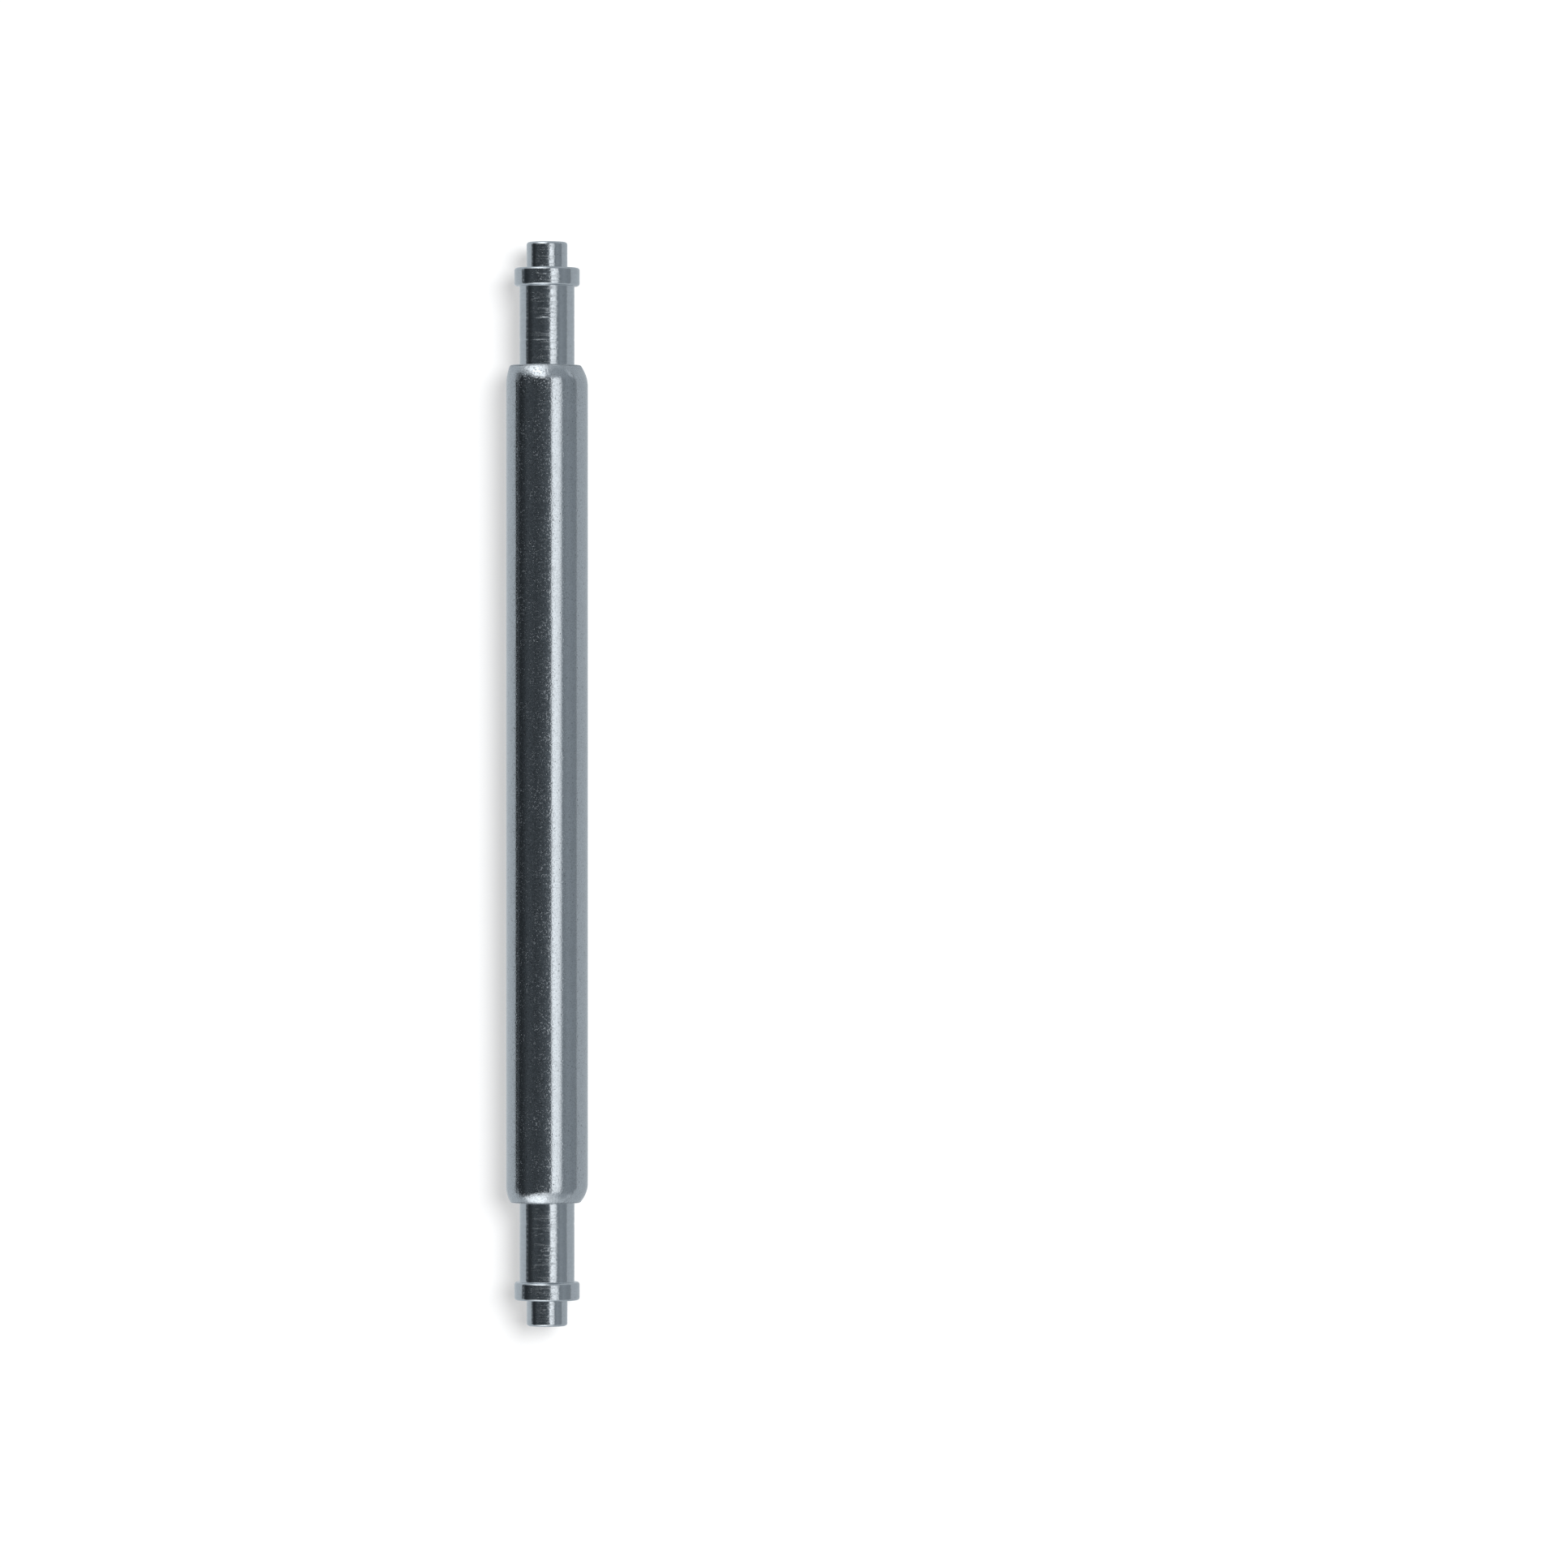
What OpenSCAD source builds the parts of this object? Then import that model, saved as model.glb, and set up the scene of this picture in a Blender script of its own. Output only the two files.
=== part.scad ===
// Watch strap spring bar with two sprung, double-shouldered pins.
// The bar lies along Y, with its origin on the axis at the middle of the tube.
// Every piece is turned about Z first, and laid along Y at the end.

/* [Tube] */
// Length of the tube over its two rolled-in ends
tube_length = 18.4; // [14:0.1:28]
// Outer diameter of the tube
tube_d = 1.8; // [1.7:0.05:2.1]
// Thickness of the tube's wall
tube_wall = 0.15; // [0.12:0.01:0.18]
// Length of tube that is rolled in at each end
roll_length = 0.43; // [0.36:0.01:0.55]
// Width of the flat ring that is left round each mouth
lip_width = 0.13; // [0.1:0.005:0.15]
// Thickness of that ring along the bar
lip_thickness = 0.13; // [0.1:0.01:0.15]

/* [Pins] */
// Diameter of the tip that sits in the lug hole
tip_d = 0.9; // [0.7:0.05:1.1]
// Length of the tip beyond the outer flange
tip_length = 0.57; // [0.4:0.01:0.9]
// Rounding of the tip's end
tip_edge = 0.09; // [0.03:0.01:0.15]
// Diameter of the outer flange
flange_d = 1.44; // [1.3:0.02:1.6]
// Width of the outer flange along the bar
flange_width = 0.4; // [0.28:0.02:0.6]
// Rounding of the flange's two edges
flange_edge = 0.06; // [0.02:0.01:0.12]
// Diameter of the neck between the flange and the tube
neck_d = 1.21; // [1.1:0.01:1.24]
// Length of neck that shows when the pin is fully out
neck_length = 1.74; // [1.2:0.02:2.4]
// Length of the head that guides the pin inside the tube
head_length = 1.2; // [0.8:0.05:2]
// Chamfer on both ends of the head
head_chamfer = 0.06; // [0.03:0.01:0.1]

/* [Spring] */
// Diameter of the spring's wire
wire_d = 0.22; // [0.16:0.01:0.24]
// Number of working coils between the closed ends
working_coils = 23; // [16:1:28]
// Number of coils that lie close at each end
closed_coils = 1; // [1:1:2]
// Gap between those close coils
closed_gap = 0.03; // [0.02:0.01:0.08]

/* [Fits] */
// Radial clearance of the neck in the tube's mouth
mouth_clearance = 0.03; // [0.02:0.005:0.05]
// Radial clearance of the head in the tube's bore
bore_clearance = 0.03; // [0.02:0.005:0.04]
// Radial clearance of the spring in the tube's bore
spring_clearance = 0.06; // [0.03:0.01:0.1]
// Running gap that is left where one piece seats on the next
seat_gap = 0.02; // [0.01:0.005:0.04]

/* [Hidden] */
$fn = 96;
overcut = 1;

// Tube: its outer arc starts at roll_start and ends at the flat ring round the mouth.
tube_r = tube_d / 2;
bore_r = tube_r - tube_wall;
neck_r = neck_d / 2;
mouth_r = neck_r + mouth_clearance;
lip_r = mouth_r + lip_width;
tube_end = tube_length / 2;
roll_start = tube_end - roll_length;
roll_inset = tube_r - lip_r;
roll_r = (roll_length ^ 2 + roll_inset ^ 2) / (2 * roll_inset);
roll_inner_r = roll_r - tube_wall;
roll_centre = tube_r - roll_r;

// Hollow: its arc starts where it then leaves the ring its thickness at the mouth.
hollow_rise = sqrt(roll_inner_r ^ 2 - max(0, mouth_r - roll_centre) ^ 2);
hollow_start = tube_end - lip_thickness - hollow_rise;

// Head: one of its chamfer's two corners seats inside the rolled-in end.
head_r = bore_r - bore_clearance;
head_face_r = head_r - head_chamfer;
head_front = min(seat_height(head_r) + head_chamfer, seat_height(head_face_r));
head_back = head_front - head_length;

// Pin: the rest of it stacks up from the tube's end.
flange_start = tube_end + neck_length;
flange_end = flange_start + flange_width;
tip_end = flange_end + tip_length;

// Spring: it fills the room between the two heads, with its end coils lying close.
wire_r = wire_d / 2;
coil_r = bore_r - spring_clearance - wire_r;
spring_length = 2 * (head_back - seat_gap);
closed_pitch = wire_d + closed_gap;
closed_height = closed_coils * closed_pitch;
working_pitch = (spring_length - wire_d - 2 * closed_height) / working_coils;
coils = working_coils + 2 * closed_coils;
rings_per_coil = 8;
wire_sides = 6;

// Highest place of a corner at radius r that keeps the seat gap to the rolled-in end's inner arc
function seat_height(r) =
    hollow_start + sqrt(max(0, (roll_inner_r - seat_gap) ^ 2 - max(0, r - roll_centre) ^ 2));

// Height of the wire's centre above the spring's foot, after a number of coils
function wire_height(coil) =
    coil < closed_coils ? wire_r + coil * closed_pitch :
    coil > coils - closed_coils ? spring_length - wire_r - (coils - coil) * closed_pitch :
    wire_r + closed_height + (coil - closed_coils) * working_pitch;

// One point of the wire's skin
function wire_point(coil, side) =
    let (
        around = 360 * (side + 0.5) / wire_sides,
        radius = coil_r + wire_r * cos(around)
    )
    [
        radius * cos(360 * coil),
        radius * sin(360 * coil),
        wire_height(coil) + wire_r * sin(around)
    ];

module lay_along_y() {
    rotate([-90, 0, 0])
        children();
}

module at_other_end() {
    rotate([180, 0, 0])
        children();
}

// What a rounding takes off the outer corner of a turned profile
module corner_waste(r, end, edge) {
    difference() {
        translate([r - edge, end - edge])
            square(edge + overcut);
        translate([r - edge, end - edge])
            circle(edge);
    }
}

// Half section of a turned disc with one or both rims rounded
module turned_profile(r, start, end, edge, both_rims = false) {
    difference() {
        translate([0, start])
            square([r, end - start]);
        corner_waste(r, end, edge);
        if (both_rims)
            translate([0, start + end])
                mirror([0, 1])
                    corner_waste(r, end, edge);
    }
}

// What the rolling takes off the outside of the tube at its upper end
module roll_waste() {
    inner = max(0, roll_centre);
    difference() {
        translate([inner, roll_start])
            square([tube_r + overcut - inner, roll_length + overcut]);
        translate([roll_centre, roll_start])
            circle(roll_r);
    }
}

// The hollow under the rolled-in end, with the mouth through it
module roll_hollow() {
    intersection() {
        translate([0, hollow_start])
            square([bore_r + overcut, roll_inner_r + overcut]);
        union() {
            translate([roll_centre, hollow_start])
                circle(roll_inner_r);
            if (roll_centre > 0)
                translate([0, hollow_start])
                    square([roll_centre, roll_inner_r]);
        }
    }
    translate([0, hollow_start])
        square([mouth_r, tube_end - hollow_start + overcut]);
}

module tube_profile() {
    difference() {
        translate([0, -tube_end])
            square([tube_r, tube_length]);
        translate([0, -hollow_start])
            square([bore_r, 2 * hollow_start]);
        for (side = [0, 1])
            mirror([0, side]) {
                roll_waste();
                roll_hollow();
            }
    }
}

module head_profile() {
    polygon([
        [0, head_back],
        [head_face_r, head_back],
        [head_r, head_back + head_chamfer],
        [head_r, head_front - head_chamfer],
        [head_face_r, head_front],
        [0, head_front]
    ]);
}

module tube() {
    color("slategray")
        rotate_extrude()
            tube_profile();
}

// One turned piece: head, neck, outer flange and tip
module pin() {
    color("lightsteelblue")
        rotate_extrude()
            union() {
                head_profile();
                translate([0, head_front])
                    square([neck_r, flange_start - head_front]);
                turned_profile(flange_d / 2, flange_start, flange_end, flange_edge, true);
                turned_profile(tip_d / 2, flange_end, tip_end, tip_edge);
            }
}

module spring() {
    rings = rings_per_coil * coils;
    points = [
        for (ring = [0:rings], side = [0:wire_sides - 1])
            wire_point(ring / rings_per_coil, side)
    ];
    walls = [
        for (ring = [0:rings - 1], side = [0:wire_sides - 1])
            let (
                here = ring * wire_sides,
                next = here + wire_sides,
                beside = (side + 1) % wire_sides
            )
            each [
                [here + side, here + beside, next + side],
                [here + beside, next + beside, next + side]
            ]
    ];
    first_cap = [for (side = [wire_sides - 1:-1:0]) side];
    last_cap = [for (side = [0:wire_sides - 1]) rings * wire_sides + side];
    echo(least_gap_between_working_coils = working_pitch - wire_d);
    color("gainsboro")
        translate([0, 0, -spring_length / 2])
            polyhedron(points, concat([first_cap], walls, [last_cap]));
}

lay_along_y() tube();
lay_along_y() pin();  // upper_pin
lay_along_y() at_other_end() pin();  // lower_pin
lay_along_y() spring();
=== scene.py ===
import math

import bpy
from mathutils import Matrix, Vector, noise


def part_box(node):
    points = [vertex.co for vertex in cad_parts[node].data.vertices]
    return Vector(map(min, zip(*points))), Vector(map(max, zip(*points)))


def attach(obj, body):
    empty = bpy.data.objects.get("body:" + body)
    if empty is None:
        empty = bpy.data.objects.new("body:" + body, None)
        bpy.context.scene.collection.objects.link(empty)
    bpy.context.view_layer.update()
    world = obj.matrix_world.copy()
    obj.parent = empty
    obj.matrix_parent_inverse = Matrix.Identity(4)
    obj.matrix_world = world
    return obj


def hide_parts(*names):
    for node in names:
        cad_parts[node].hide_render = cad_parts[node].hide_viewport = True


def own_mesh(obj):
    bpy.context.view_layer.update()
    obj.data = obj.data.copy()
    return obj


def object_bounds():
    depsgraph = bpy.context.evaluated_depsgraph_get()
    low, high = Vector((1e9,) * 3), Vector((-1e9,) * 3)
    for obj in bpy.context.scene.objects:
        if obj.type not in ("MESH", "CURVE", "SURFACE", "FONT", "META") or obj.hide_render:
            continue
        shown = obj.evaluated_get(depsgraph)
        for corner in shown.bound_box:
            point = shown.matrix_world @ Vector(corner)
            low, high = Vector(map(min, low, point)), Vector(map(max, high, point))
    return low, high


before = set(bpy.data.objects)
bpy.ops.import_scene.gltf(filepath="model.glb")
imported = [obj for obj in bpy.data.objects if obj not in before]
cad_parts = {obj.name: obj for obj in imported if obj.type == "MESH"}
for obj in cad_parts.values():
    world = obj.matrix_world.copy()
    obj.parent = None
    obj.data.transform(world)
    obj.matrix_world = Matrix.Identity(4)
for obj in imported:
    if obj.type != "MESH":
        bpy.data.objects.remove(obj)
cadLow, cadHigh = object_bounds()

mm = 0.001  # the sizes below are in millimetres, and the scene is in metres


# Profiles: every turned piece is a list of (y, radius) points, spun about the Y axis

def arc(centre, radius, fromDeg, toDeg, steps):
    # 0 degrees points away from the axis, and 90 degrees points along +Y
    points = []
    for i in range(steps + 1):
        angle = math.radians(fromDeg + (toDeg - fromDeg) * i / steps)
        points.append((centre[0] + radius * math.sin(angle), centre[1] + radius * math.cos(angle)))
    return points


def between(a, b, share):
    return (a[0] + (b[0] - a[0]) * share, a[1] + (b[1] - a[1]) * share)


def rounded(corners, steps=7, support=1.3):
    # corners are (y, radius, rounding); a rounding becomes an arc, with a support point beyond each end
    points = []
    for i, (y, r, size) in enumerate(corners):
        here = (y, r)
        if size == 0 or i in (0, len(corners) - 1):
            points.append(here)
            continue
        before, after = corners[i - 1][:2], corners[i + 1][:2]
        start = between(here, before, size / math.dist(here, before))
        end = between(here, after, size / math.dist(here, after))
        points.append(between(here, before, support * size / math.dist(here, before)))
        pull = math.dist(start, end) / (2 * size)  # makes the curve a circle's arc
        for step in range(steps + 1):
            t = step / steps
            shares = ((1 - t) ** 2, 2 * t * (1 - t) * pull, t * t)
            points.append(tuple(
                sum(share * point[k] for share, point in zip(shares, (start, here, end))) / sum(shares)
                for k in (0, 1)
            ))
        points.append(between(here, after, support * size / math.dist(here, after)))
    return points


def divided(points, longest):
    # splits the long stretches, so that waves and turning marks have points to move
    fine = [points[0]]
    for a, b in zip(points, points[1:]):
        parts = max(1, math.ceil(math.dist(a, b) / longest))
        fine += [between(a, b, (part + 1) / parts) for part in range(parts)]
    return fine


def meshObject(name, verts, faces, smooth=True):
    mesh = bpy.data.meshes.new(name)
    mesh.from_pydata(verts, [], faces)
    mesh.validate()
    if smooth:
        mesh.shade_smooth()
    made = bpy.data.objects.new(name, mesh)
    bpy.context.scene.collection.objects.link(made)
    return made


def spun(name, profile, sides, closed, finish):
    # finish(y, radius, direction) gives how far a point stands proud of the true profile
    verts, rows = [], []
    for y, r in profile:
        if r < 1e-6:  # on the axis
            rows.append([len(verts)] * sides)
            verts.append((0, y * mm, 0))
            continue
        rows.append(list(range(len(verts), len(verts) + sides)))
        for side in range(sides):
            turn = 2 * math.pi * side / sides
            way = Vector((math.cos(turn), 0, math.sin(turn)))
            full = r + finish(y, r, way)
            verts.append((full * way.x * mm, y * mm, full * way.z * mm))
    faces = []
    above = rows[1:] + rows[:1] if closed else rows[1:]
    for low, high in zip(rows, above):
        for side in range(sides):
            beside = (side + 1) % sides
            ring = [low[side], low[beside], high[beside], high[side]]
            faces.append([v for k, v in enumerate(ring) if v != ring[k - 1]])  # two meet on the axis
    return meshObject(name, verts, faces)


def dressed(piece, body, node, material):
    piece.data.materials.append(material)
    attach(piece, body)
    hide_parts(node)


def ripple(y, r, way, size, seed):
    # smooth noise from -1 to 1 over the surface, with bumps of about the given size
    return noise.noise(Vector((way.x * r, y, way.z * r)) / size + Vector((seed, seed, seed)))


# Materials: procedural steel, all in object coordinates

def node(tree, kind, **values):
    made = tree.nodes.new(kind)
    for key, value in values.items():
        setattr(made, key, value)
    return made


def given(tree, socket, value):
    # a socket takes a number, a colour or what another node puts out
    if isinstance(value, (int, float)):
        socket.default_value = value
    elif isinstance(value, (list, tuple)):
        socket.default_value = (*value, 1)
    else:
        tree.links.new(value, socket)


def coordinates(tree, kind):
    return node(tree, "ShaderNodeTexCoord").outputs[kind]


def parted(tree, vector):
    # its X, Y and Z
    made = node(tree, "ShaderNodeSeparateXYZ")
    tree.links.new(vector, made.inputs[0])
    return made.outputs


def sums(tree, operation, *values):
    made = node(tree, "ShaderNodeMath", operation=operation)
    for socket, value in zip(made.inputs, values):
        given(tree, socket, value)
    return made.outputs[0]


def mapped(tree, value, low, high, toLow=0.0, toHigh=1.0, shape="SMOOTHSTEP"):
    made = node(tree, "ShaderNodeMapRange", interpolation_type=shape, clamp=True)
    tree.links.new(value, made.inputs["Value"])
    made.inputs["From Min"].default_value = low
    made.inputs["From Max"].default_value = high
    made.inputs["To Min"].default_value = toLow
    made.inputs["To Max"].default_value = toHigh
    return made.outputs[0]


def mixed(tree, share, a, b):
    made = node(tree, "ShaderNodeMix", data_type="RGBA")
    for key, value in (("Factor", share), ("A", a), ("B", b)):
        given(tree, made.inputs[key], value)
    return made.outputs["Result"]


def grain(tree, vector, scale, detail=2.0, rough=0.5):
    made = node(tree, "ShaderNodeTexNoise")
    tree.links.new(vector, made.inputs["Vector"])
    made.inputs["Scale"].default_value = scale
    made.inputs["Detail"].default_value = detail
    made.inputs["Roughness"].default_value = rough
    return made.outputs["Fac"]


def blended(tree, terms):
    # the sum of every value times its share
    total = 0.0
    for value, share in terms:
        total = sums(tree, "MULTIPLY_ADD", value, share, total)
    return total


def pitCells(tree, where, look):
    # pits are round dimples, in some of the cells only; the turn keeps them out of rows
    turned = node(tree, "ShaderNodeMapping")
    turned.inputs["Rotation"].default_value = look["pitTurn"]
    tree.links.new(where, turned.inputs["Vector"])
    cells = node(tree, "ShaderNodeTexVoronoi", feature="F1")
    cells.inputs["Scale"].default_value = look["pitsPerMm"]
    cells.inputs["Randomness"].default_value = 1.0
    tree.links.new(turned.outputs[0], cells.inputs["Vector"])
    lot = node(tree, "ShaderNodeSeparateColor")
    tree.links.new(cells.outputs["Color"], lot.inputs[0])
    pick, size = lot.outputs[:2]
    width = sums(tree, "MULTIPLY_ADD", size, look["pitGrowth"], look["pitSize"])
    reach = sums(tree, "MINIMUM", sums(tree, "DIVIDE", cells.outputs["Distance"], width), 1.0)
    bare = 1 - look["pitShare"]
    chosen = mapped(tree, pick, bare, bare + look["pitPick"])
    return sums(tree, "MULTIPLY", mapped(tree, reach, look["pitFloor"], 1.0, 1.0, 0.0), chosen)


def steel(name, look):
    material = bpy.data.materials.new(name)
    material.use_nodes = True
    tree = material.node_tree
    shader = tree.nodes["Principled BSDF"]
    shader.inputs["Metallic"].default_value = 1.0

    inMm = node(tree, "ShaderNodeVectorMath", operation="SCALE")
    inMm.inputs["Scale"].default_value = 1 / mm
    tree.links.new(coordinates(tree, "Object"), inMm.inputs[0])
    where = inMm.outputs[0]
    x, y, z = parted(tree, where)

    # lengthwise runs along the bar, and out or in where the surface faces its end
    square = sums(tree, "ADD", sums(tree, "MULTIPLY", x, x), sums(tree, "MULTIPLY", z, z))
    lengthwise = sums(tree, "ADD", y, sums(tree, "SQRT", square))

    def stretched(perMm, detail):
        # grain with one scale round the bar and another along it
        made = node(tree, "ShaderNodeCombineXYZ")
        scales = (perMm[0], perMm[1], perMm[0])
        for socket, value, scale in zip(made.inputs, (x, lengthwise, z), scales):
            tree.links.new(sums(tree, "MULTIPLY", value, scale), socket)
        return grain(tree, made.outputs[0], 1.0, detail)

    # the top, the underside and the faces at the ends are the most worn
    across, along, up = parted(tree, coordinates(tree, "Normal"))
    lean = math.radians(look["wearLean"])
    upright = sums(tree, "MULTIPLY", up, math.cos(lean))
    upright = sums(tree, "MULTIPLY_ADD", across, -math.sin(lean), upright)
    facing = sums(tree, "MAXIMUM", *[sums(tree, "ABSOLUTE", value) for value in (upright, along)])
    wear = mapped(tree, facing, *look["wornFrom"], look["leastWear"], 1.0)

    marks = stretched(look["marksPerMm"], detail=1.5)
    scratches = stretched(look["scratchesPerMm"], detail=2.0)
    patches = grain(tree, where, look["patchesPerMm"], detail=3.0, rough=0.55)
    fine = grain(tree, where, look["grainPerMm"], rough=0.6)

    # the rolled-in ends are scratched all over, and have few pits
    worked = mapped(tree, sums(tree, "ABSOLUTE", y), *look["workedFrom"])

    # nicks are small dents, which lie in clusters
    clusters = grain(tree, where, look["clustersPerMm"])
    clusters = mapped(tree, clusters, *look["clusterEdge"], look["fewest"], 1.0)
    nicks = mapped(tree, stretched(look["nicksPerMm"], detail=1.0), *look["nickEdge"])
    nicks = sums(tree, "MULTIPLY", sums(tree, "MULTIPLY", clusters, nicks), wear)

    # pits are weaker where there is less wear
    pits = pitCells(tree, where, look)
    for share in (
        sums(tree, "MULTIPLY_ADD", wear, 1 - look["leastPits"], look["leastPits"]),
        sums(tree, "MULTIPLY_ADD", worked, -look["pitsRubbedOut"], 1.0),
    ):
        pits = sums(tree, "MULTIPLY", pits, share)

    # the upper end is dull round its mouth, up to a ragged line
    mouth = mapped(tree, sums(tree, "MULTIPLY_ADD", patches, look["mouthRagged"], y), *look["mouthFrom"])

    streaks = sums(tree, "MULTIPLY", mapped(tree, marks, *look["markEdge"]), wear)
    roughness = blended(tree, [
        (patches, look["roughPatches"]),
        (nicks, look["roughNicks"]),
        (streaks, look["roughMarks"]),
        (worked, look["roughWorked"]),
        (mouth, look["roughMouth"]),
    ])
    tree.links.new(sums(tree, "ADD", roughness, look["roughness"]), shader.inputs["Roughness"])

    # the strongest mark gives the tint
    flecks = sums(tree, "MULTIPLY", mapped(tree, fine, *look["fleckEdge"]), wear)
    lines = sums(tree, "MULTIPLY", streaks, look["lineShare"])
    patchy = mapped(tree, patches, *look["patchEdge"], 0.0, look["patchShare"])
    scraped = mapped(tree, scratches, *look["scrapeEdge"], 0.0, look["scrapeShare"])
    scraped = sums(tree, "MULTIPLY", scraped, worked)
    dull = sums(tree, "MAXIMUM", flecks, lines)
    dull = sums(tree, "MAXIMUM", dull, sums(tree, "MAXIMUM", patchy, scraped))
    dull = sums(tree, "MAXIMUM", sums(tree, "MULTIPLY", dull, look["dullShare"]), pits)
    pitted = [part * look["pitted"] for part in look["colour"]]
    tree.links.new(mixed(tree, dull, look["colour"], pitted), shader.inputs["Base Color"])

    # relief in millimetres; the marks go both ways from the noise's middle
    markLevel = sums(tree, "MULTIPLY", sums(tree, "SUBTRACT", marks, 0.5), wear)
    relief = blended(tree, [
        (fine, look["grainDepth"]),
        (markLevel, look["markDepth"]),
        (nicks, -look["nickDepth"]),
        (pits, -look["pitDepth"]),
        (sums(tree, "MULTIPLY", scratches, worked), look["scratchDepth"]),
    ])
    bump = node(tree, "ShaderNodeBump")
    bump.inputs["Distance"].default_value = mm
    tree.links.new(relief, bump.inputs["Height"])
    tree.links.new(bump.outputs["Normal"], shader.inputs["Normal"])
    return material


anySteel = {
    "pitTurn": (0.5, 0.7, 0.9),
    "pitPick": 0.05,  # how softly the cells with a pit are told from the bare ones
    "pitFloor": 0.35,
    "leastPits": 0.4,
    "patchEdge": (0.45, 0.75),
    # rolled-in ends and mouth: only the tube has them, so here they start beyond the bar
    "workedFrom": (20, 21), "roughWorked": 0.0, "pitsRubbedOut": 0.85,
    "scratchesPerMm": (20, 5), "scratchDepth": 0.0, "scrapeEdge": (0.58, 0.7), "scrapeShare": 0.4,
    "mouthFrom": (20, 21), "roughMouth": 0.0, "mouthRagged": 0.08,
}
tubeLook = {
    **anySteel,
    "colour": (0.58, 0.62, 0.655), "pitted": 0.45, "dullShare": 0.65,
    "fleckEdge": (0.44, 0.64), "lineShare": 0.15, "patchShare": 0.3,
    "roughness": 0.085, "roughPatches": 0.04, "roughMarks": 0.05, "roughNicks": 0.3,
    "wearLean": 20, "wornFrom": (0.74, 0.96), "leastWear": 0.5,
    "grainPerMm": 32, "grainDepth": 0.0005,
    "marksPerMm": (22, 1.2), "markDepth": 0.0006, "markEdge": (0.5, 0.7),  # round the bar and along it
    "patchesPerMm": 5,
    "clustersPerMm": 2.2, "clusterEdge": (0.36, 0.66), "fewest": 0.5,
    "nicksPerMm": (26, 26), "nickEdge": (0.5, 0.72), "nickDepth": 0.001,
    "pitsPerMm": 14, "pitShare": 0.42, "pitSize": 0.16, "pitGrowth": 0.24, "pitDepth": 0.0015,
    "workedFrom": (8.75, 8.95), "roughWorked": 0.02,
    "scratchesPerMm": (20, 7), "scratchDepth": 0.0035,
    "mouthFrom": (9.05, 9.19), "roughMouth": 0.22,
}
pinLook = {
    **anySteel,
    "colour": (0.59, 0.63, 0.665), "pitted": 0.5, "dullShare": 0.64,
    "fleckEdge": (0.47, 0.67), "lineShare": 0.5, "patchShare": 0.3,
    "roughness": 0.08, "roughPatches": 0.03, "roughMarks": 0.2, "roughNicks": 0.2,
    "wearLean": 6, "wornFrom": (0.8, 0.97), "leastWear": 0.25,
    "grainPerMm": 26, "grainDepth": 0.0006,
    "marksPerMm": (2, 20), "markDepth": 0.0062, "markEdge": (0.44, 0.66),
    "patchesPerMm": 6,
    "clustersPerMm": 2.5, "clusterEdge": (0.3, 0.7), "fewest": 0.4,
    "nicksPerMm": (14, 26), "nickEdge": (0.5, 0.72), "nickDepth": 0.0012,
    "pitsPerMm": 14, "pitShare": 0.18, "pitSize": 0.12, "pitGrowth": 0.22, "pitDepth": 0.0015,
}
wireLook = {
    **anySteel,
    "colour": (0.52, 0.53, 0.54), "pitted": 0.7, "dullShare": 0.5,
    "fleckEdge": (0.45, 0.65), "lineShare": 0.5, "patchShare": 0.5,
    "roughness": 0.22, "roughPatches": 0.08, "roughMarks": 0.05, "roughNicks": 0.15,
    "wearLean": 0, "wornFrom": (0.0, 0.1), "leastWear": 1.0,
    "grainPerMm": 20, "grainDepth": 0.001,
    "marksPerMm": (8, 8), "markDepth": 0.0005, "markEdge": (0.5, 0.7),
    "patchesPerMm": 8,
    "clustersPerMm": 3, "clusterEdge": (0.4, 0.65), "fewest": 0.1,
    "nicksPerMm": (20, 20), "nickEdge": (0.55, 0.7), "nickDepth": 0.001,
    "pitsPerMm": 12, "pitShare": 0.1, "pitSize": 0.1, "pitGrowth": 0.1, "pitDepth": 0.002,
}
tubeSteel = steel("burnishedTubeSteel", tubeLook)
pinSteel = steel("turnedPinSteel", pinLook)
springSteel = steel("springWireSteel", wireLook)
print("steel finishes made")


# Tube

tube = {
    "end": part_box("tube")[1].y / mm,
    "radius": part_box("tube")[1].x / mm,
    "wall": 0.15,
    "rollLength": 0.43,
    "mouthRadius": 0.635,
    "lipWidth": 0.13, "lipThickness": 0.13,
    "lipRounding": 0.02,
    # outside length and lip of each roll, which differ in the photo
    "upperRoll": (0.45, 0.145), "lowerRoll": (0.39, 0.13),
    "outerSteps": 22, "innerSteps": 10,
    "step": 0.15,
    "sides": 160,
    "trueBore": 0.01, "trueLip": 0.8,  # how far from the bore, and into the lip, the inside is true
    "wave": 0.0014, "waveSize": 1.1, "waveSeed": 3,
    "dent": 0.003, "dentSize": 0.16, "dentSeed": 9, "dentFrom": 0.5,  # full from halfway along each roll
    "skew": 0.035, "skewBend": 1.5,  # how far the rolling has pushed both ends to the left
}


def rollArc(t, rollLength, lipWidth):
    inset = t["radius"] - t["mouthRadius"] - lipWidth
    radius = (rollLength ** 2 + inset ** 2) / (2 * inset)
    return (t["end"] - rollLength, t["radius"] - radius), radius


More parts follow.
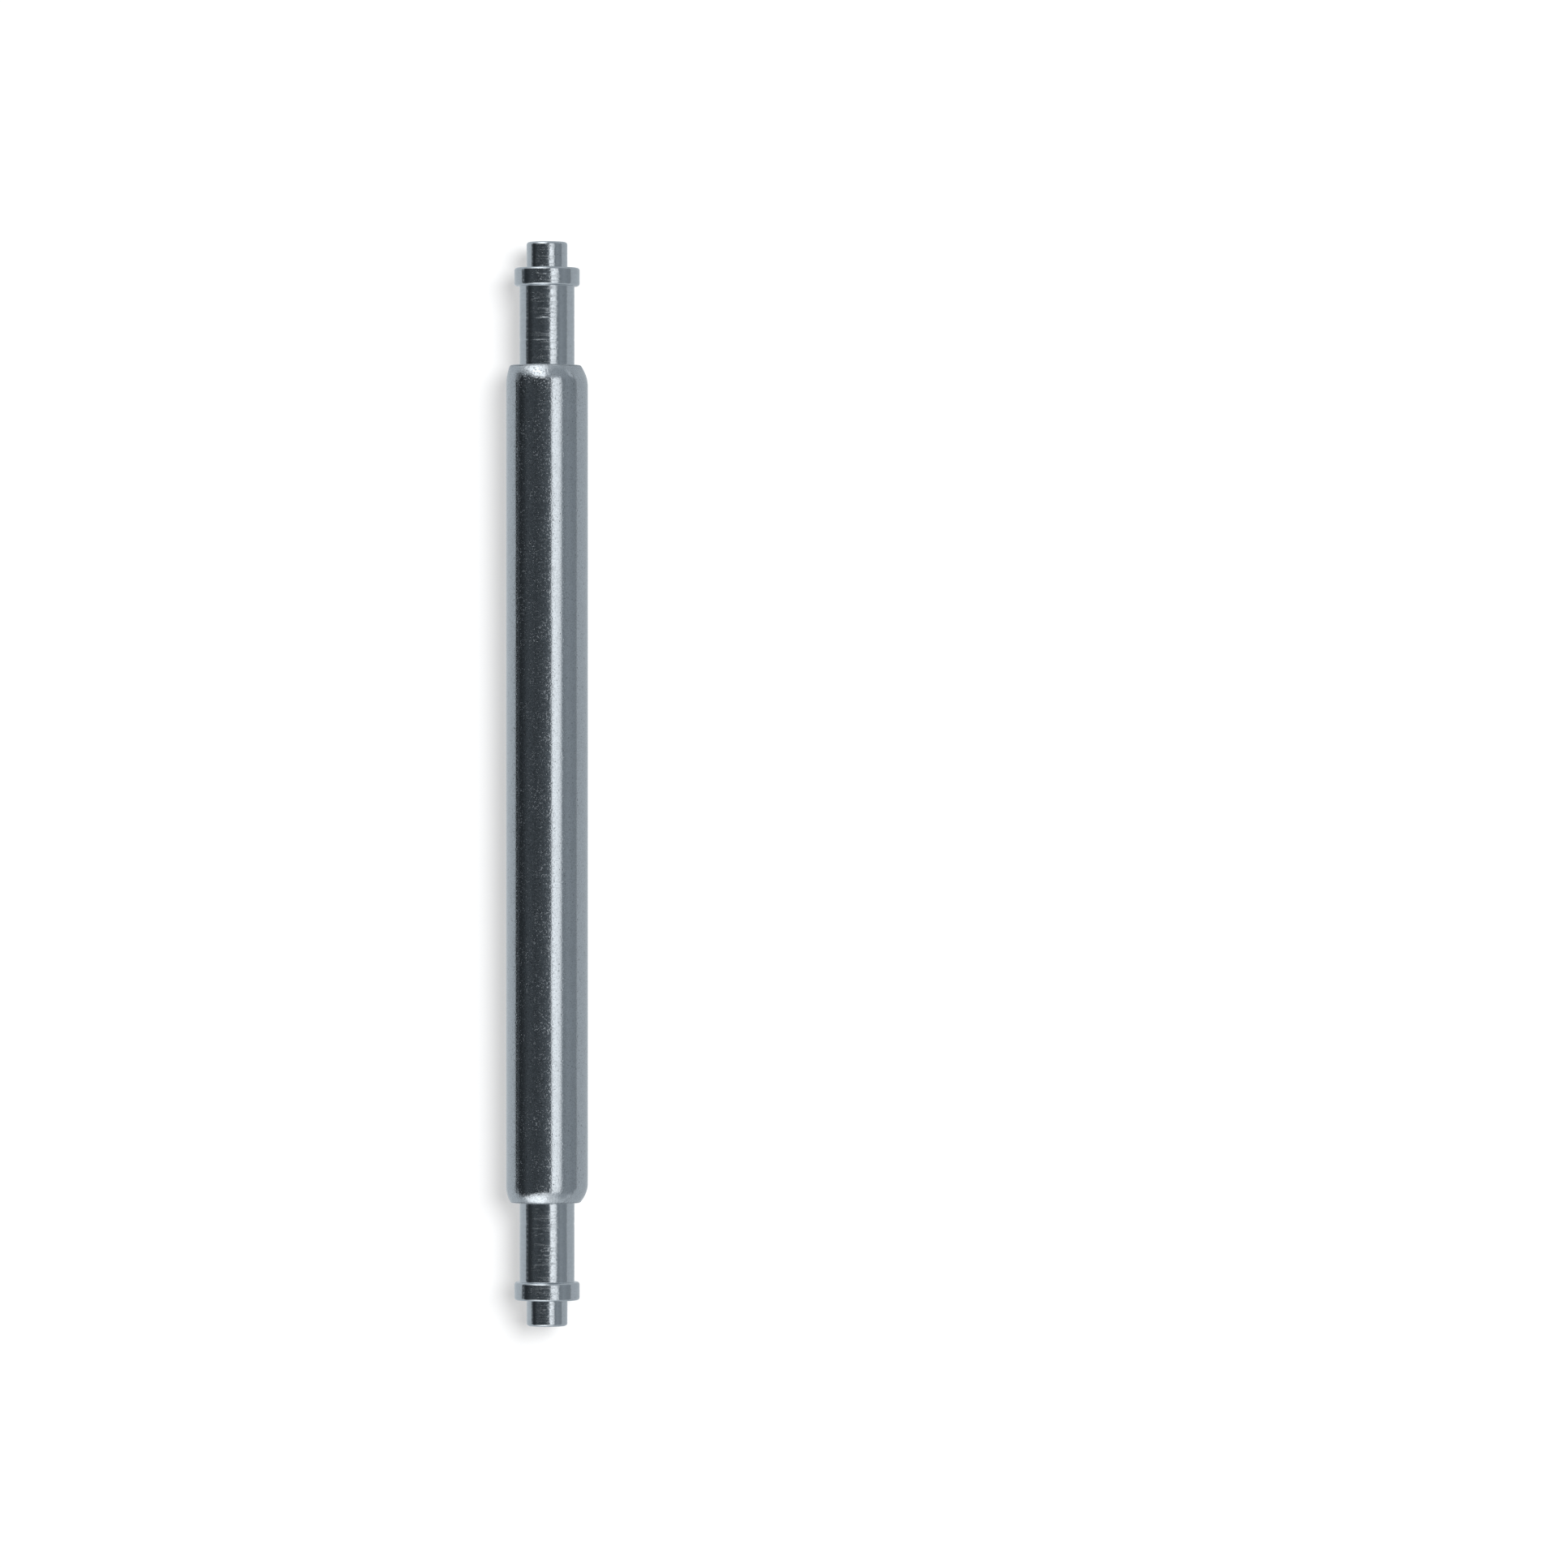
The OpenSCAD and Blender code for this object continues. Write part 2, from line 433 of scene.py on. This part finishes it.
def tubeHalf(t, rollLength, lipWidth):
    # from the outside's middle, over the rolled-in end and through the mouth, to the bore's middle
    lip = t["mouthRadius"] + lipWidth
    centre, rollRadius = rollArc(t, rollLength, lipWidth)
    rolledDeg = math.degrees(math.asin(rollLength / rollRadius))
    outer = arc(centre, rollRadius, 0, rolledDeg, t["outerSteps"])
    centre, innerRadius = rollArc(t, t["rollLength"], t["lipWidth"])
    innerRadius -= t["wall"]
    reach = math.acos((t["mouthRadius"] - centre[1]) / innerRadius)
    hollowStart = t["end"] - t["lipThickness"] - innerRadius * math.sin(reach)
    inner = arc((hollowStart, centre[1]), innerRadius, math.degrees(reach), 0, t["innerSteps"])
    edge = t["lipRounding"]
    lipCorners = rounded([
        (*outer[-2], 0),
        (t["end"], lip, edge),
        (t["end"], t["mouthRadius"], edge),
        (*inner[0], 0),
    ])
    outside = divided([(0, t["radius"]), outer[0]], t["step"])
    return outside + outer[1:-2] + lipCorners + inner[1:] + [(0, inner[-1][1])]


def tubeFinish(y, r, way):
    t = tube
    inBore = r < t["radius"] - t["wall"] + t["trueBore"]
    if inBore and abs(y) < t["end"] - t["trueLip"] * t["lipThickness"]:
        return 0
    share = max(0, min(1, (r - t["mouthRadius"]) / t["lipWidth"]))
    rolled = max(0, (abs(y) - t["end"] + t["rollLength"]) / t["rollLength"])
    wave = t["wave"] * (ripple(y, r, way, t["waveSize"], t["waveSeed"]) - 1)
    dents = ripple(y, r, way, t["dentSize"], t["dentSeed"]) - 1
    dent = t["dent"] * min(1, rolled / t["dentFrom"]) * dents
    skew = t["skew"] * rolled ** t["skewBend"] * way.x
    return share * (wave + dent - skew)


upperTube = tubeHalf(tube, *tube["upperRoll"])
lowerTube = [(-y, r) for y, r in reversed(tubeHalf(tube, *tube["lowerRoll"]))]
tubePiece = spun("tubeShell", upperTube + lowerTube[1:-1], tube["sides"], True, tubeFinish)
dressed(tubePiece, "tube", "tube", tubeSteel)
print("tube made:", len(tubePiece.data.polygons), "faces")


# Pins

pin = {
    "tip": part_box("upper_pin")[1].y / mm,
    "headBack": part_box("upper_pin")[0].y / mm,
    "headLength": 1.2, "headRadius": 0.72, "headChamfer": 0.06,
    "neckRadius": 0.605,
    "flangeRadius": 0.72, "flangeWidth": 0.4, "flangeRounding": 0.055,
    "tipRadius": 0.45, "tipLength": 0.57, "tipRounding": 0.06,
    "cornerRounding": 0.015,
    "hiddenStep": 0.1, "step": 0.0131, "stepInside": 0.05,  # fine from just inside the tube's end
    "sides": 128,
    "finishInside": 0.1, "plainFace": 0.9,  # no marks deeper in the tube, and none on the tip's face
    "feed": 0.105, "feedDepth": 0.0013,  # turning lines, in rings
    "feedDrift": 0.4, "driftSize": 0.3,
    "feedStrength": 0.7, "strengthChange": 1.5, "changeSize": 0.25,
    "wave": 0.0014, "waveSize": 0.5,
    "upperSeed": 5, "lowerSeed": 12,
    # place and depth of each
    "upperGrooves": [(9.76, 0.005), (10.257, 0.0036)], "lowerGrooves": [(9.665, 0.0055)],
    "grooveWidth": 0.022,
}


def pinProfile(p):
    headFront = p["headBack"] + p["headLength"]
    flangeEnd = p["tip"] - p["tipLength"]
    flangeStart = flangeEnd - p["flangeWidth"]
    headFace = p["headRadius"] - p["headChamfer"]
    small = p["cornerRounding"]
    shownFrom = tube["end"] - p["stepInside"]
    corners = [
        (p["headBack"], 0, 0),
        (p["headBack"], headFace, small),
        (p["headBack"] + p["headChamfer"], p["headRadius"], small),
        (headFront - p["headChamfer"], p["headRadius"], small),
        (headFront, headFace, small),
        (headFront, p["neckRadius"], small),
        (shownFrom, p["neckRadius"], 0),
        (flangeStart, p["neckRadius"], small),
        (flangeStart, p["flangeRadius"], p["flangeRounding"]),
        (flangeEnd, p["flangeRadius"], p["flangeRounding"]),
        (flangeEnd, p["tipRadius"], small),
        (p["tip"], p["tipRadius"], p["tipRounding"]),
        (p["tip"], 0, 0),
    ]
    outline = rounded(corners)
    hidden = [point for point in outline if point[0] <= shownFrom]
    return divided(hidden, p["hiddenStep"])[:-1] + divided(outline[len(hidden) - 1:], p["step"])


def pinFinish(seed, grooves):
    p = pin

    def proud(y, r, way):
        if r < p["plainFace"] * p["tipRadius"] or abs(y) < tube["end"] - p["finishInside"]:
            return 0
        along = abs(y) + p["feedDrift"] * p["feed"] * ripple(y, r, way, p["driftSize"], seed + 1)
        change = p["strengthChange"] * ripple(y, r, way, p["changeSize"], seed + 2)
        strength = max(0, p["feedStrength"] + change)
        ring = strength * (0.5 * math.cos(2 * math.pi * along / p["feed"]) - 0.5)  # never proud
        cut = sum(depth * math.exp(-((abs(y) - at) / p["grooveWidth"]) ** 2) for at, depth in grooves)
        level = ripple(y, r, way, p["waveSize"], seed) - 1
        return p["feedDepth"] * ring + p["wave"] * level - cut
    return proud


profile = pinProfile(pin)
mirrored = [(-y, r) for y, r in reversed(profile)]
upperFinish = pinFinish(pin["upperSeed"], pin["upperGrooves"])
lowerFinish = pinFinish(pin["lowerSeed"], pin["lowerGrooves"])
upperPin = spun("upperPin", profile, pin["sides"], False, upperFinish)
lowerPin = spun("lowerPin", mirrored, pin["sides"], False, lowerFinish)
dressed(upperPin, "upper_pin", "upper_pin", pinSteel)
dressed(lowerPin, "lower_pin", "lower_pin", pinSteel)
print("pins made:", len(upperPin.data.polygons), "faces each")


# Spring: two halves, split at its middle coil

spring = {
    "end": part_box("spring")[1].y / mm,
    "wireRadius": 0.11,
    "coilRadius": 0.58,
    "workingCoils": 23,
    "closedCoils": 1,
    "closedGap": 0.03,
    "ringsPerCoil": 28,
    "wireSides": 12,
}


def wireHeight(s, coil):
    # height of the wire's centre above the spring's lower end
    closedPitch = 2 * s["wireRadius"] + s["closedGap"]
    closedHeight = s["closedCoils"] * closedPitch
    total = s["workingCoils"] + 2 * s["closedCoils"]
    length = 2 * s["end"]
    pitch = (length - 2 * s["wireRadius"] - 2 * closedHeight) / s["workingCoils"]
    if coil < s["closedCoils"]:
        return s["wireRadius"] + coil * closedPitch
    if coil > total - s["closedCoils"]:
        return length - s["wireRadius"] - (total - coil) * closedPitch
    return s["wireRadius"] + closedHeight + (coil - s["closedCoils"]) * pitch


def springHalf(name, s, fromCoil, toCoil):
    rings = round((toCoil - fromCoil) * s["ringsPerCoil"])
    sides = s["wireSides"]
    verts, faces = [], []
    for ring in range(rings + 1):
        coil = fromCoil + (toCoil - fromCoil) * ring / rings
        turn = 2 * math.pi * coil
        for side in range(sides):
            around = 2 * math.pi * side / sides
            r = s["coilRadius"] + s["wireRadius"] * math.cos(around)
            y = wireHeight(s, coil) - s["end"] + s["wireRadius"] * math.sin(around)
            verts.append((r * math.cos(turn) * mm, y * mm, -r * math.sin(turn) * mm))
    for ring in range(rings):
        for side in range(sides):
            beside = (side + 1) % sides
            low, high = ring * sides, (ring + 1) * sides
            faces.append((low + side, low + beside, high + beside, high + side))
    faces.append(tuple(reversed(range(sides))))
    faces.append(tuple(rings * sides + side for side in range(sides)))
    return meshObject(name, verts, faces)


coils = spring["workingCoils"] + 2 * spring["closedCoils"]
for name, joint, fromCoil, toCoil in (
    ("springLowerHalf", "lower_pin_slide", 0, coils / 2),
    ("springUpperHalf", "upper_pin_slide", coils / 2, coils),
):
    half = springHalf(name, spring, fromCoil, toCoil)
    dressed(half, "tube", "spring", springSteel)
    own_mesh(half)
print("spring made")


# Studio: white paper under the bar, a strip light to the camera's right, and a dark flag over the left

studio = {
    "paperHeight": cadLow.z, "paperSize": 2.0,  # metres
    "paperColour": (0.45, 0.455, 0.46),
    "paperGlow": 0.53,  # brings it up to white for the camera
    # the paper as the metal shows it, brighter near the bar on the left
    "paperTint": (0.935, 1.0, 1.05),
    "paperFar": 0.52, "paperNear": 0.2, "paperReach": 2.0,
    "nearRight": (-1.0, 2.0), "nearRightLevel": 0.3,
    "paperRight": (12.0, 34.0), "paperRightLevel": 0.55,
    # painted dark reflection: the paper as the metal shows it is darkened to the left of the bar
    "paintedDarkFrom": (9.5, 13.0), "paintedDarkHalf": (13.0, 17.0), "paintedDarkLevel": 0.07,
    "roomLight": 0.1,
    "lampWay": (0.38, 0.2, 1.0),
    "lampSpread": 30,  # degrees across
    "lampLevel": 1.06,
    # what the metal sees overhead: degrees from the zenith, left to right, and brightness
    "overhead": [
        (-90, 0.14), (-86, 0.06), (-80, 0.033), (-70, 0.044), (-54, 0.086), (-42, 0.08), (-30, 0.068),
        (-8, 0.094), (4, 0.13), (12.4, 0.17), (15.6, 1.14), (19, 1.41), (30, 1.28), (37, 1.1), (42.5, 0.8),
        (45, 0.3), (50, 0.295), (62, 0.355), (78, 0.315), (90, 0.315),
    ],
    # what it sees past the upper and lower ends of that: degrees from the bar's direction, left to right
    "above": [
        (-90, 0.03), (-78, 0.06), (-70, 0.3), (-58, 0.5), (-50, 0.95), (-38, 2.0), (-12, 1.95), (0, 0.95),
        (6, 0.48), (40, 0.4), (90, 0.36),
    ],
    "below": [
        (-90, 0.03), (-74, 0.05), (-67, 0.5), (-57, 1.2), (-40, 1.6), (-12, 1.75), (2, 1.3), (8, 0.95),
        (28, 0.8), (44, 0.45), (90, 0.36),
    ],
    "pastFrom": 0.37, "pastTo": 0.54,  # how far along the bar its view has to tilt for them
    "upperShare": 1.16, "lowerShare": 0.85,  # the upper end sees more of them
    "lowFrom": 0.1, "lowTo": 0.3, "lowLevel": 0.62,  # under them, near the paper
    "dimTint": (0.87, 1.0, 1.11),
    "brightTint": (0.985, 1.0, 1.01),
}


def rayKinds(tree):
    # what the camera sees, also through clear things, and what metal shows
    rays = node(tree, "ShaderNodeLightPath").outputs
    seen = sums(tree, "MAXIMUM", rays["Is Camera Ray"], rays["Is Transmission Ray"])
    return seen, rays["Is Glossy Ray"]


def shining(tree, kind, colour, strength):
    made = node(tree, kind)
    given(tree, made.inputs["Color"], colour)
    given(tree, made.inputs["Strength"], strength)
    return made.outputs[0]


def joined(tree, kind, *values):
    # a mix or sum of shaders
    made = node(tree, kind)
    for socket, value in zip(made.inputs, values):
        tree.links.new(value, socket)
    return made.outputs[0]


def makePaper(s):
    half = s["paperSize"] / 2
    corners = [(-half, -half), (half, -half), (half, half), (-half, half)]
    verts = [(x, y, s["paperHeight"]) for x, y in corners]
    paper = meshObject("paper", verts, [(0, 1, 2, 3)], smooth=False)

    material = bpy.data.materials.new("whitePaper")
    material.use_nodes = True
    tree = material.node_tree
    tree.nodes.remove(tree.nodes["Principled BSDF"])
    seen, inMetal = rayKinds(tree)
    plain = node(tree, "ShaderNodeBsdfDiffuse")
    plain.inputs["Color"].default_value = (*s["paperColour"], 1)
    glow = shining(tree, "ShaderNodeEmission", (1, 1, 1), sums(tree, "MULTIPLY", seen, s["paperGlow"]))
    lit = joined(tree, "ShaderNodeAddShader", plain.outputs[0], glow)

    def ranged(value, key, toLow, toHigh):
        nearer, farther = [distance * mm for distance in s[key]]
        return mapped(tree, value, nearer, farther, toLow, toHigh)

    x, y = parted(tree, coordinates(tree, "Object"))[:2]
    away = sums(tree, "MULTIPLY_ADD", sums(tree, "ABSOLUTE", x), 1 / (s["paperReach"] * mm), 1.0)
    close = sums(tree, "DIVIDE", ranged(x, "nearRight", 1.0, s["nearRightLevel"]), away)
    # painted dark reflection: a patch left of the bar where the paper shows darker to the metal only
    beyond = ranged(sums(tree, "MULTIPLY", x, -1.0), "paintedDarkFrom", 0.0, 1.0)
    beside = ranged(sums(tree, "ABSOLUTE", y), "paintedDarkHalf", 1.0, 0.0)
    paintedDarkShare = sums(tree, "MULTIPLY", beyond, beside)
    level = sums(tree, "MULTIPLY_ADD", close, s["paperNear"], s["paperFar"])
    for share in (
        mapped(tree, paintedDarkShare, 0.0, 1.0, 1.0, s["paintedDarkLevel"], shape="LINEAR"),
        ranged(x, "paperRight", 1.0, s["paperRightLevel"]),
    ):
        level = sums(tree, "MULTIPLY", level, share)
    mirrored = shining(tree, "ShaderNodeEmission", s["paperTint"], level)
    either = joined(tree, "ShaderNodeMixShader", inMetal, lit, mirrored)
    tree.links.new(either, tree.nodes["Material Output"].inputs["Surface"])
    paper.data.materials.append(material)


def tinted(level, s):
    # brighter light is whiter
    white = min(1, level)
    return [level * (dim + (bright - dim) * white) for dim, bright in zip(s["dimTint"], s["brightTint"])]


def lightRamp(tree, turn, levels, s):
    # from 90 degrees to the left to 90 degrees to the right
    ramp = node(tree, "ShaderNodeValToRGB")
    across = mapped(tree, turn, -math.pi / 2, math.pi / 2, shape="LINEAR")
    tree.links.new(across, ramp.inputs[0])
    stops = ramp.color_ramp.elements
    for i, (angle, level) in enumerate(levels):
        place = (angle + 90) / 180
        if i == 0:
            stop = stops[0]
        elif i == len(levels) - 1:
            stop = stops[-1]
        else:
            stop = stops.new(place)
        stop.position = place
        stop.color = (*tinted(level, s), 1)
    return ramp.outputs[0]


def makeRoom(s):
    world = bpy.data.worlds.new("studioRoom")
    bpy.context.scene.world = world
    world.use_nodes = True
    tree = world.node_tree
    x, y, z = parted(tree, coordinates(tree, "Generated"))

    # the strip and the flag lie along Y, so over the bar only the turn about Y counts
    towardsUpper = sums(tree, "MULTIPLY", y, s["upperShare"])
    towardsLower = sums(tree, "MULTIPLY", y, -s["lowerShare"])
    endways = sums(tree, "MAXIMUM", towardsUpper, towardsLower)
    overhead = lightRamp(tree, sums(tree, "ARCTAN2", x, z), s["overhead"], s)
    turn = sums(tree, "ARCTAN2", x, endways)
    above = lightRamp(tree, turn, s["above"], s)
    below = lightRamp(tree, turn, s["below"], s)
    past = mixed(tree, sums(tree, "GREATER_THAN", y, 0.0), below, above)
    low = mixed(tree, mapped(tree, z, s["lowFrom"], s["lowTo"]), tinted(s["lowLevel"], s), past)
    shown = mixed(tree, mapped(tree, endways, s["pastFrom"], s["pastTo"]), overhead, low)

    seen, inMetal = rayKinds(tree)
    mirrored = shining(tree, "ShaderNodeBackground", shown, 1.0)
    soft = shining(tree, "ShaderNodeBackground", (1, 1, 1), s["roomLight"])
    white = shining(tree, "ShaderNodeBackground", (1, 1, 1), 1.0)
    either = joined(tree, "ShaderNodeMixShader", inMetal, soft, mirrored)
    either = joined(tree, "ShaderNodeMixShader", seen, either, white)
    tree.links.new(either, tree.nodes["World Output"].inputs["Surface"])


def makeLamp(s):
    # the lamp's level is how bright it makes white paper
    way = Vector(s["lampWay"]).normalized()
    lamp = bpy.data.lights.new("softLamp", "SUN")
    lamp.angle = math.radians(s["lampSpread"])
    lamp.energy = s["lampLevel"] * math.pi / way.z
    holder = bpy.data.objects.new("softLamp", lamp)
    holder.rotation_mode = "QUATERNION"
    holder.rotation_quaternion = way.to_track_quat("Z", "Y")
    holder.visible_camera = False
    holder.visible_glossy = False
    bpy.context.scene.collection.objects.link(holder)


makePaper(studio)
makeRoom(studio)
makeLamp(studio)
print("studio made")


# Camera: straight above, with the bar left of the frame's middle

view = {
    "imageWidth": 1931, "imageHeight": 1932,  # pixels
    "tubeWidth": 100.9,  # pixels that the tube's diameter takes up
    "tubeAcross": 674.1, "tubeDown": 966.0,  # pixel of the tube's middle
    "lens": 200, "sensor": 36,
    "clipStart": 0.005, "clipEnd": 5,  # metres
}
perPixel = 2 * tube["radius"] * mm / view["tubeWidth"]
cameraData = bpy.data.cameras.new("camera")
cameraData.lens = view["lens"]
cameraData.sensor_width = view["sensor"]
cameraData.clip_start = view["clipStart"]
cameraData.clip_end = view["clipEnd"]
camera = bpy.data.objects.new("camera", cameraData)
widest = max(view["imageWidth"], view["imageHeight"])
camera.location = (
    (view["imageWidth"] / 2 - view["tubeAcross"]) * perPixel,
    (view["tubeDown"] - view["imageHeight"] / 2) * perPixel,
    widest * perPixel * view["lens"] / view["sensor"],
)
bpy.context.scene.collection.objects.link(camera)
bpy.context.scene.camera = camera
bpy.context.scene.view_settings.view_transform = "Standard"
print("camera set")
